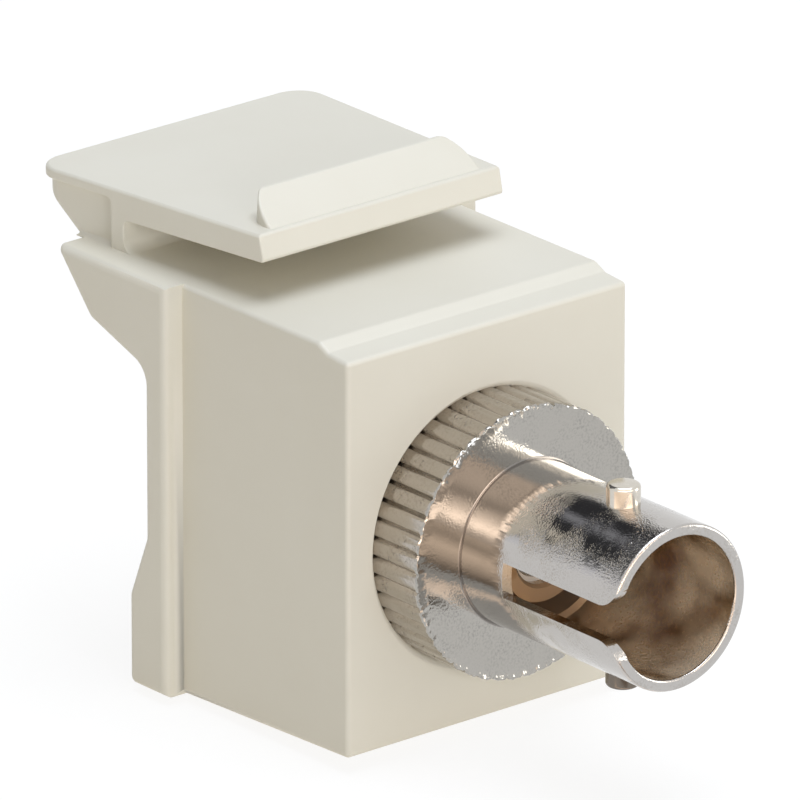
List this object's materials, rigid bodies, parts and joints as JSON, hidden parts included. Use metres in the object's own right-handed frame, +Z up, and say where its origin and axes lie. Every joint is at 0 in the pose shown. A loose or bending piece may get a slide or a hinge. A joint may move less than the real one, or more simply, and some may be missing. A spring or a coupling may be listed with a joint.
{
  "type": "st fibre adapter",
  "caption": "Snap-in keystone module carrying a bayonet fibre adapter with a knurled collar, slotted barrel and flexing top latch.",
  "frame": {"origin": "on the adapter axis in the plane of the housing's front face", "axes": "+X to the right facing the front, +Y back through the module along the adapter axis, +Z up"},
  "size_m": [0.0166, 0.0321, 0.0221],
  "materials": {
    "ivory_plastic": "fine moulded texture",
    "nickel_casting": "bright nickel plate over a cast skin",
    "nickel_pin": "polished",
    "ceramic": "ground ceramic"
  },
  "bodies": {
    "module": {"keystone_housing": "ivory_plastic", "front_body": "nickel_casting", "front_lugs": "nickel_pin", "rear_body": "nickel_casting", "rear_lugs": "nickel_pin", "alignment_sleeve": "ceramic"},
    "latch": {"latch_arm": "ivory_plastic"}
  },
  "joints": [
    {"name": "latch_flex", "type": "hinge", "parent": "module", "child": "latch", "pos_m": [0, 0.0152, 0.0085], "axis": [1, 0, 0], "range_deg": [0, 10], "stiffness_Nm_per_rad": 0.3}
  ]
}
